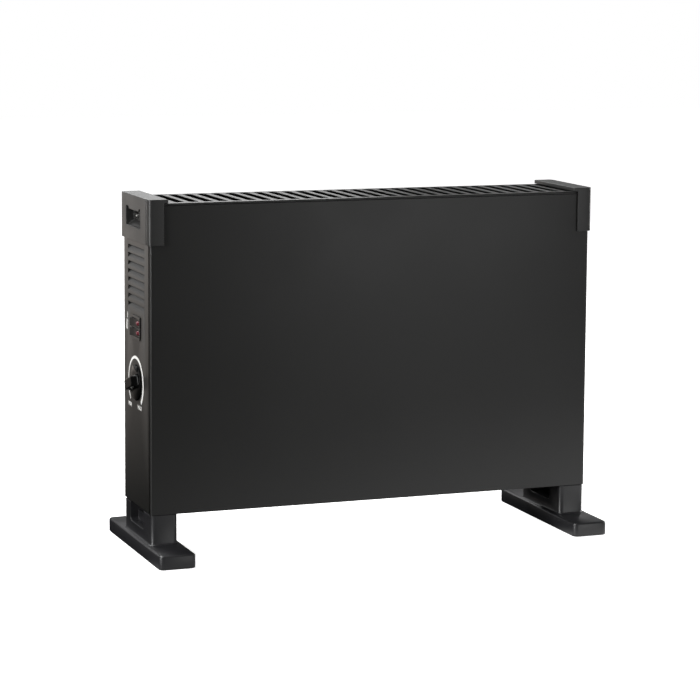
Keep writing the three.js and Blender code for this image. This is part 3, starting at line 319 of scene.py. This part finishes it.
def printed(name, strips):
    """Closed films of ink on the left side panel, each between two edges of (y, z) in metres."""
    form = bmesh.new()
    for strip in strips:
        front, back = ([[form.verts.new((side_face - film * off, y, z)) for y, z in edge]
                        for edge in strip] for off in (1.5, 0.5))
        for i in range(len(strip[0]) - 1):
            for a, b in ((front[0], front[1]), (front[1], back[1]),
                         (back[1], back[0]), (back[0], front[0])):
                form.faces.new((a[i], a[i + 1], b[i + 1], b[i]))
        for i in (0, -1):
            form.faces.new((front[0][i], front[1][i], back[1][i], back[0][i]))
    bmesh.ops.recalc_face_normals(form, faces=form.faces[:])
    mesh = bpy.data.meshes.new(name)
    form.to_mesh(mesh)
    form.free()
    mesh.materials.append(white_ink)
    piece = bpy.data.objects.new(name, mesh)
    bpy.context.collection.objects.link(piece)
    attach(piece, "heater")


arc_off_shaft = (0.0020, -0.0009)            # the print sits a little off the shaft, in y and z
arc_outer, arc_thin, arc_thick = 0.0298, 0.0018, 0.0044
arc_end = 134.5                              # degrees from the top to each end of the arc
arc_steps = 72
shaft_low, shaft_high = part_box("thermostat_shaft")
arc_y = (shaft_low[1] + shaft_high[1]) / 2 + arc_off_shaft[0]
arc_z = (shaft_low[2] + shaft_high[2]) / 2 + arc_off_shaft[1]


def on_dial(radius, degrees):
    """A point round the dial, clockwise from the top as seen from outside."""
    turn = math.radians(degrees)
    return arc_y - radius * math.sin(turn), arc_z + radius * math.cos(turn)


arc_shares = [i / arc_steps for i in range(arc_steps + 1)]
outer_edge = [on_dial(arc_outer, arc_end * (2 * share - 1)) for share in arc_shares]
inner_edge = [on_dial(arc_outer - arc_thin - (arc_thick - arc_thin) * share,
                      arc_end * (2 * share - 1)) for share in arc_shares]
printed("temperature_arc", [(outer_edge, inner_edge)])


def bar(y, z, width, height):
    """The two upright edges of a printed bar with its centre at (y, z)."""
    return [[(y + side * width / 2, z - height / 2), (y + side * width / 2, z + height / 2)]
            for side in (-1, 1)]


bar_width, short_bar, long_bar = 0.0015, 0.0062, 0.0110
near_bar_y, far_bar_y = 0.0362, 0.0402
stage_one_z, stage_two_z = 0.2550, 0.2446
printed("stage_one_mark", [bar(near_bar_y, stage_one_z, bar_width, short_bar)])
printed("stage_two_mark", [bar(far_bar_y, stage_two_z, bar_width, long_bar),
                           bar(near_bar_y, stage_two_z, bar_width, long_bar)])

letter_size, letter_weight, letter_spacing = 0.0066, 0.00015, 1.1
outward = Matrix(((0, 0, -1), (-1, 0, 0), (0, 1, 0))).to_4x4()    # a text's face turned to -X
for word, y, z in (("MIN", 0.0270, 0.1575), ("MAX", -0.0105, 0.1587)):
    letters = bpy.data.curves.new(word + "_letters", "FONT")
    letters.body = word
    letters.size = letter_size
    letters.offset = letter_weight
    letters.space_character = letter_spacing
    letters.align_x = "CENTER"
    letters.align_y = "CENTER"
    letters.extrude = film / 2
    letters.materials.append(white_ink)
    piece = bpy.data.objects.new(word + "_mark", letters)
    bpy.context.collection.objects.link(piece)
    piece.matrix_world = Matrix.Translation((side_face - film, y, z)) @ outward
    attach(piece, "heater")


# ---------------------------------------------------------------- heating unit and wiring
# Pressed mica boards carry the resistance ribbon, dulled by heat; the thermostat and the terminal
# block are moulded, and the wires have silicone insulation. All of it shows only through slots.

mica_board = moulded("pressed mica board", ("#9c8353", "#bda06a"), grain=0.003, depth=0.3,
                     rough=(0.5, 0.65))
dull_ribbon = plated("heat-dulled resistance alloy", ("#5b5753", "#77726c"), cloud=0.004,
                     rough=(0.40, 0.55))
brown_phenolic = moulded("brown phenolic moulding", ("#271d18", "#302520"), grain=0.001,
                         depth=0.2, rough=(0.4, 0.5))
natural_nylon = moulded("natural nylon", ("#cfccc2", "#dedbd2"), grain=0.001, depth=0.15,
                        rough=(0.4, 0.5))
soft_rubber = moulded("moulded black rubber", ("#141414", "#1a1a1a"), grain=0.0008, depth=0.4,
                      rough=(0.75, 0.85))
brown_silicone = moulded("brown silicone sleeve", ("#4a2a1a", "#5a3522"), grain=0.001,
                         depth=0.2, rough=(0.5, 0.6))
blue_silicone = moulded("blue silicone sleeve", ("#244878", "#2f5a92"), grain=0.001,
                        depth=0.2, rough=(0.5, 0.6))
recoloured(["front_mica_board", "rear_mica_board"], mica_board)
recoloured(["front_winding", "rear_winding"], dull_ribbon)
recoloured(["thermostat_body"], brown_phenolic)
recoloured(["terminal_block"], natural_nylon)
recoloured(["cord_gland", "earth_wire"], soft_rubber)
recoloured(["live_wire", "thermostat_wire", "front_element_wire"], brown_silicone)
recoloured(["neutral_wire", "rear_element_wire"], blue_silicone)
recoloured(["thermal_cutout"], nickel_plate)


# ---------------------------------------------------------------- camera
# A long lens, above the heater and to the left of it, as the picture was taken. The angles are in
# radians, and the focal length and the upward shift are in pixels of the square picture.

camera_place = (-1.0141, -2.6469, 0.6517)
yaw, pitch, roll = 0.3630, 0.1198, -0.0073
focal_pixels, raised_pixels, frame_pixels = 2561.5, 90.5, 700.0
sensor_width = 36.0
forward = Vector((math.sin(yaw) * math.cos(pitch), math.cos(yaw) * math.cos(pitch),
                  -math.sin(pitch)))
level = Vector((math.cos(yaw), -math.sin(yaw), 0.0))
below = forward.cross(level)
right = level * math.cos(roll) + below * math.sin(roll)
down = below * math.cos(roll) - level * math.sin(roll)

camera_data = bpy.data.cameras.new("camera")
camera_data.sensor_width = sensor_width
camera_data.lens = focal_pixels * sensor_width / frame_pixels
camera_data.shift_y = -raised_pixels / frame_pixels
camera_data.clip_end = 50.0
camera = bpy.data.objects.new("camera", camera_data)
bpy.context.collection.objects.link(camera)
facing = Matrix((right, -down, -forward)).transposed().to_4x4()
camera.matrix_world = Matrix.Translation(camera_place) @ facing
bpy.context.scene.camera = camera


# ---------------------------------------------------------------- floor and studio
# Seamless white paper in a dark studio. The camera sees it white, with the heater's shadow. In the
# heater's reflections the paper shows a painted glow instead: emission set on it behind and in
# front of the heater, fading out elsewhere, stands in for the lit studio.

paper_size, floor_gap = 14.0, 0.0003         # the paper lies just under the feet
paper_glow = 0.93
# Painted glow that the heater mirrors: from 0 near the heater to full behind it, slightly warm.
behind_near, behind_far, behind_light = 0.25, 3.3, 0.85
warm_white = (1.10, 1.0, 0.92, 1.0)
# A band of painted glow in front of it, which fades towards the camera and grows towards the
# right.
band_start, band_full, band_fade, band_end = -0.03, -0.12, -0.15, -0.7
band_light = (1.15, 0.15)
band_left, band_right = -0.3, 0.45
band_sides = (0.4, 1.45)


def seamless_paper():
    material = bpy.data.materials.new("seamless white paper")
    material.use_nodes = True
    tree = material.node_tree
    tree.nodes.clear()
    rays = add_node(tree, "ShaderNodeLightPath")
    place = add_node(tree, "ShaderNodeTexCoord").outputs["Object"]
    depth = add_node(tree, "ShaderNodeSeparateXYZ", None, {"Vector": place})
    paper = add_node(tree, "ShaderNodeBsdfDiffuse", None, {"Color": linear("#e6e6e6")})
    glow = add_node(tree, "ShaderNodeEmission", None, {"Strength": paper_glow})
    pictured = add_node(tree, "ShaderNodeAddShader", None,
                        {0: paper.outputs[0], 1: glow.outputs[0]})
    behind = add_node(tree, "ShaderNodeMapRange", None,
                      {"Value": depth.outputs["Y"], "From Min": behind_near,
                       "From Max": behind_far, "To Min": 0.0, "To Max": behind_light})
    # Painted glow, seen only in the heater's reflections: it stands in for a lit studio behind the
    # heater.
    painted_warm_glow = add_node(tree, "ShaderNodeEmission", None,
                         {"Color": warm_white, "Strength": behind.outputs["Result"]})
    near_edge = add_node(tree, "ShaderNodeMapRange", {"interpolation_type": "SMOOTHSTEP"},
                         {"Value": depth.outputs["Y"], "From Min": band_start,
                          "From Max": band_full, "To Min": 0.0, "To Max": 1.0})
    fading = add_node(tree, "ShaderNodeMapRange", None,
                      {"Value": depth.outputs["Y"], "From Min": band_fade,
                       "From Max": band_end, "To Min": band_light[0], "To Max": band_light[1]})
    sideways = add_node(tree, "ShaderNodeMapRange", None,
                        {"Value": depth.outputs["X"], "From Min": band_left,
                         "From Max": band_right, "To Min": band_sides[0],
                         "To Max": band_sides[1]})
    before = add_node(tree, "ShaderNodeMath", {"operation": "MULTIPLY"},
                      {0: near_edge.outputs["Result"], 1: fading.outputs["Result"]})
    uneven = add_node(tree, "ShaderNodeMath", {"operation": "MULTIPLY"},
                      {0: before.outputs[0], 1: sideways.outputs["Result"]})
    # Painted glow in front of the heater, also seen only in reflections.
    painted_front_glow = add_node(tree, "ShaderNodeEmission", None, {"Strength": uneven.outputs[0]})
    mirrored = add_node(tree, "ShaderNodeAddShader", None,
                        {0: painted_warm_glow.outputs[0], 1: painted_front_glow.outputs[0]})
    # To all other rays the paper is dark grey, so it throws little light back onto the heater.
    dim_paper = add_node(tree, "ShaderNodeBsdfDiffuse", None, {"Color": linear("#404040")})
    indirect = add_node(tree, "ShaderNodeMixShader", None,
                        {0: rays.outputs["Is Glossy Ray"], 1: dim_paper.outputs[0],
                         2: mirrored.outputs[0]})
    direct = add_node(tree, "ShaderNodeMath", {"operation": "MAXIMUM"},
                      {0: rays.outputs["Is Camera Ray"], 1: rays.outputs["Is Transmission Ray"]})
    choice = add_node(tree, "ShaderNodeMixShader", None,
                      {0: direct.outputs[0], 1: indirect.outputs[0], 2: pictured.outputs[0]})
    add_node(tree, "ShaderNodeOutputMaterial", None, {"Surface": choice.outputs[0]})
    return material


bpy.ops.mesh.primitive_plane_add(size=paper_size, location=(0.0, 0.0, -floor_gap))
floor = bpy.context.object
floor.name = "floor"
floor.data.materials.append(seamless_paper())

# The studio round it is dim, a little brighter on the camera's side, and white to the camera.
heading_span = (-0.5, 0.6)
studio_light = (0.15, 0.08)
world = bpy.data.worlds.new("studio")
world.use_nodes = True
bpy.context.scene.world = world
sky = world.node_tree
sky.nodes.clear()
rays = add_node(sky, "ShaderNodeLightPath")
direction = add_node(sky, "ShaderNodeTexCoord").outputs["Generated"]
heading = add_node(sky, "ShaderNodeSeparateXYZ", None, {"Vector": direction})
backdrop = add_node(sky, "ShaderNodeMapRange", {"interpolation_type": "SMOOTHSTEP"},
                    {"Value": heading.outputs["Y"], "From Min": heading_span[0],
                     "From Max": heading_span[1], "To Min": studio_light[0],
                     "To Max": studio_light[1]})
lit = add_node(sky, "ShaderNodeBackground", None, {"Strength": backdrop.outputs["Result"]})
white = add_node(sky, "ShaderNodeBackground", None, {"Strength": 1.0})
for background in (lit, white):
    background.inputs["Color"].default_value = (1.0, 1.0, 1.0, 1.0)
seen = add_node(sky, "ShaderNodeMath", {"operation": "MAXIMUM"},
                {0: rays.outputs["Is Camera Ray"], 1: rays.outputs["Is Transmission Ray"]})
choice = add_node(sky, "ShaderNodeMixShader", None,
                  {0: seen.outputs[0], 1: lit.outputs[0], 2: white.outputs[0]})
add_node(sky, "ShaderNodeOutputWorld", None, {"Surface": choice.outputs[0]})

heater_middle = Vector((0, 0, 0.2))


def softbox(name, place, size, watts):
    """A rectangular lamp at a place in metres, turned to the middle of the heater."""
    lamp_data = bpy.data.lights.new(name, "AREA")
    lamp_data.shape = "RECTANGLE"
    lamp_data.size, lamp_data.size_y = size
    lamp_data.energy = watts
    lamp = bpy.data.objects.new(name, lamp_data)
    bpy.context.collection.objects.link(lamp)
    lamp.location = place
    lamp.visible_camera = False
    lamp.rotation_euler = (heater_middle - Vector(place)).to_track_quat("-Z", "Y").to_euler()


# The first two light the whole heater. The strip draws the left front edge, and the next four are
# mirrored in the side, the tops and the feet. The last two keep the right and the rear from black.
softbox("overhead softbox", place=(-0.3, 0.4, 2.4), size=(1.8, 1.2), watts=20.0)
softbox("left softbox", place=(-1.9, -0.3, 2.2), size=(1.0, 1.4), watts=45.0)
softbox("edge strip", place=(-1.7, -0.6, 0.54), size=(0.3, 0.72), watts=16.0)
softbox("side softbox", place=(-0.85, 1.5, 0.45), size=(0.6, 0.45), watts=0.7)
softbox("back softbox", place=(0.12, 1.3, 0.95), size=(0.8, 0.5), watts=4.2)
softbox("low back softbox", place=(2.4, 4.0, 1.3), size=(1.0, 0.4), watts=1.8)
softbox("front softbox", place=(0.75, -1.75, 0.3), size=(1.1, 0.4), watts=3.0)
softbox("right fill softbox", place=(2.8, 0.5, 0.9), size=(1.4, 1.4), watts=50.0)
softbox("rear fill softbox", place=(-0.7, 1.7, 2.4), size=(1.0, 0.8), watts=40.0)

bpy.context.scene.view_settings.view_transform = "Standard"
